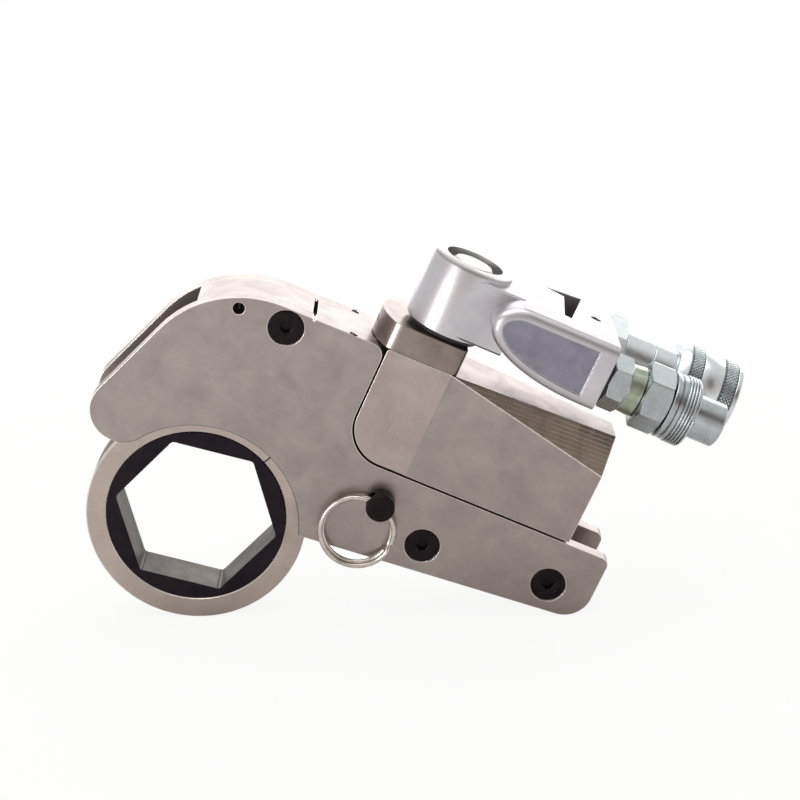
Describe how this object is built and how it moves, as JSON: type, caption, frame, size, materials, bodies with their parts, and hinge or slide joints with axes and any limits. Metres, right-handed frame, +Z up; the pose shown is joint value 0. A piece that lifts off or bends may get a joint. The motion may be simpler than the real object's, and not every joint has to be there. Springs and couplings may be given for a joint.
{
  "type": "hydraulic torque wrench",
  "caption": "Low-profile hydraulic torque wrench: hexagon ratchet link with reaction arm, plug-in cylinder block, release pin and a swivel manifold with screw couplers.",
  "frame": {"origin": "centre of the hexagon socket, halfway through the link", "axes": "+Y along the hexagon socket away from the release pin head, +X towards the hose couplers, +Z up as the tool stands on its eye and heel"},
  "size_m": [0.3263, 0.0855, 0.185],
  "materials": {
    "nickel_plated_steel": "satin nickel plate",
    "nickel_plated_inner": "satin nickel plate, unpolished",
    "black_oxide_steel": "black oxide",
    "black_ratchet_steel": "black oxide, broached hexagon",
    "ground_steel": "ground",
    "spring_steel": "drawn wire",
    "seal_rubber": "matte",
    "bearing_plastic": "matte",
    "satin_aluminium": "satin",
    "zinc_plated_steel": "bright zinc plate"
  },
  "bodies": {
    "link": {"near_side_plate": "nickel_plated_steel", "far_side_plate": "nickel_plated_steel", "eye_body": "nickel_plated_inner", "near_bearing_ring": "nickel_plated_steel", "far_bearing_ring": "nickel_plated_steel", "ring_dowels": "ground_steel", "link_dowels": "ground_steel", "front_spacer": "nickel_plated_steel", "rear_spacer": "nickel_plated_steel", "tail_spacer": "nickel_plated_inner", "near_plate_screws": "black_oxide_steel", "far_plate_screws": "black_oxide_steel", "spacer_pins": "ground_steel", "cylinder_block": "nickel_plated_steel", "rod_gland": "ground_steel", "rod_seal": "seal_rubber", "end_cap": "nickel_plated_inner", "end_cap_seal": "seal_rubber", "swivel_base": "nickel_plated_steel", "swivel_post": "ground_steel", "post_seals": "seal_rubber", "thrust_washer": "bearing_plastic", "post_retaining_ring": "ground_steel"},
    "ratchet": {"hex_ratchet": "black_ratchet_steel"},
    "lever": {"drive_lever": "ground_steel", "pawl_spring": "spring_steel"},
    "pawl": {"drive_pawl": "ground_steel"},
    "piston": {"piston_rod": "ground_steel", "piston_seal": "seal_rubber", "rod_pin": "ground_steel"},
    "swivel": {"swivel_manifold": "satin_aluminium", "gallery_plug": "black_oxide_steel", "near_bonded_seal": "seal_rubber", "far_bonded_seal": "seal_rubber", "near_adapter": "zinc_plated_steel", "far_adapter": "zinc_plated_steel", "near_coupler_body": "zinc_plated_steel", "far_coupler_body": "zinc_plated_steel", "collar_snap_ring": "ground_steel", "near_poppet_spring": "spring_steel", "far_poppet_spring": "spring_steel"},
    "collar": {"coupler_collar": "zinc_plated_steel"},
    "near_poppet": {"near_poppet": "ground_steel"},
    "far_poppet": {"far_poppet": "ground_steel"},
    "release_pin": {"release_pin": "black_oxide_steel", "pin_ball": "ground_steel"},
    "pin_ring": {"pin_split_ring": "spring_steel"}
  },
  "joints": [
    {"name": "ratchet_turn", "type": "hinge", "parent": "link", "child": "ratchet", "pos_m": [0, 0, 0], "axis": [0, -1, 0], "range_deg": [0, 24]},
    {"name": "lever_swing", "type": "hinge", "parent": "link", "child": "lever", "pos_m": [0, 0, 0], "axis": [0, -1, 0], "range_deg": [0, 24]},
    {"name": "piston_stroke", "type": "slide", "parent": "link", "child": "piston", "axis": [-0.9052, 0, 0.4251], "range_m": [0, 0.0377]},
    {"name": "pawl_lift", "type": "slide", "parent": "lever", "child": "pawl", "axis": [0.604, 0, 0.797], "range_m": [0, 0.0039], "stiffness_N_per_m": 500, "springref_m": -0.004},
    {"name": "swivel_turn", "type": "hinge", "parent": "link", "child": "swivel", "pos_m": [0.12443, 0, 0.0911], "axis": [0.4251, 0, 0.9052], "continuous": true},
    {"name": "collar_turn", "type": "hinge", "parent": "swivel", "child": "collar", "pos_m": [0.23418, 0.024, 0.05403], "axis": [0.9052, 0, -0.4251], "continuous": true},
    {"name": "near_poppet_press", "type": "slide", "parent": "swivel", "child": "near_poppet", "axis": [-0.9052, 0, 0.4251], "range_m": [0, 0.003], "stiffness_N_per_m": 1500, "springref_m": -0.002},
    {"name": "far_poppet_press", "type": "slide", "parent": "swivel", "child": "far_poppet", "axis": [-0.9052, 0, 0.4251], "range_m": [0, 0.003], "stiffness_N_per_m": 1500, "springref_m": -0.002},
    {"name": "release_pin_pull", "type": "slide", "parent": "link", "child": "release_pin", "axis": [0, -1, 0], "range_m": [0, 0.039]},
    {"name": "pin_ring_swing", "type": "hinge", "parent": "release_pin", "child": "pin_ring", "pos_m": [0.09095, -0.0254, 0.00877], "axis": [-0.739, 0, 0.6737], "range_deg": [0, 110]}
  ],
  "couplings": [
    {"joint": "lever_swing", "follows": "ratchet_turn", "ratio": 1},
    {"joint": "piston_stroke", "follows": "ratchet_turn", "m_per_rad": 0.09}
  ]
}
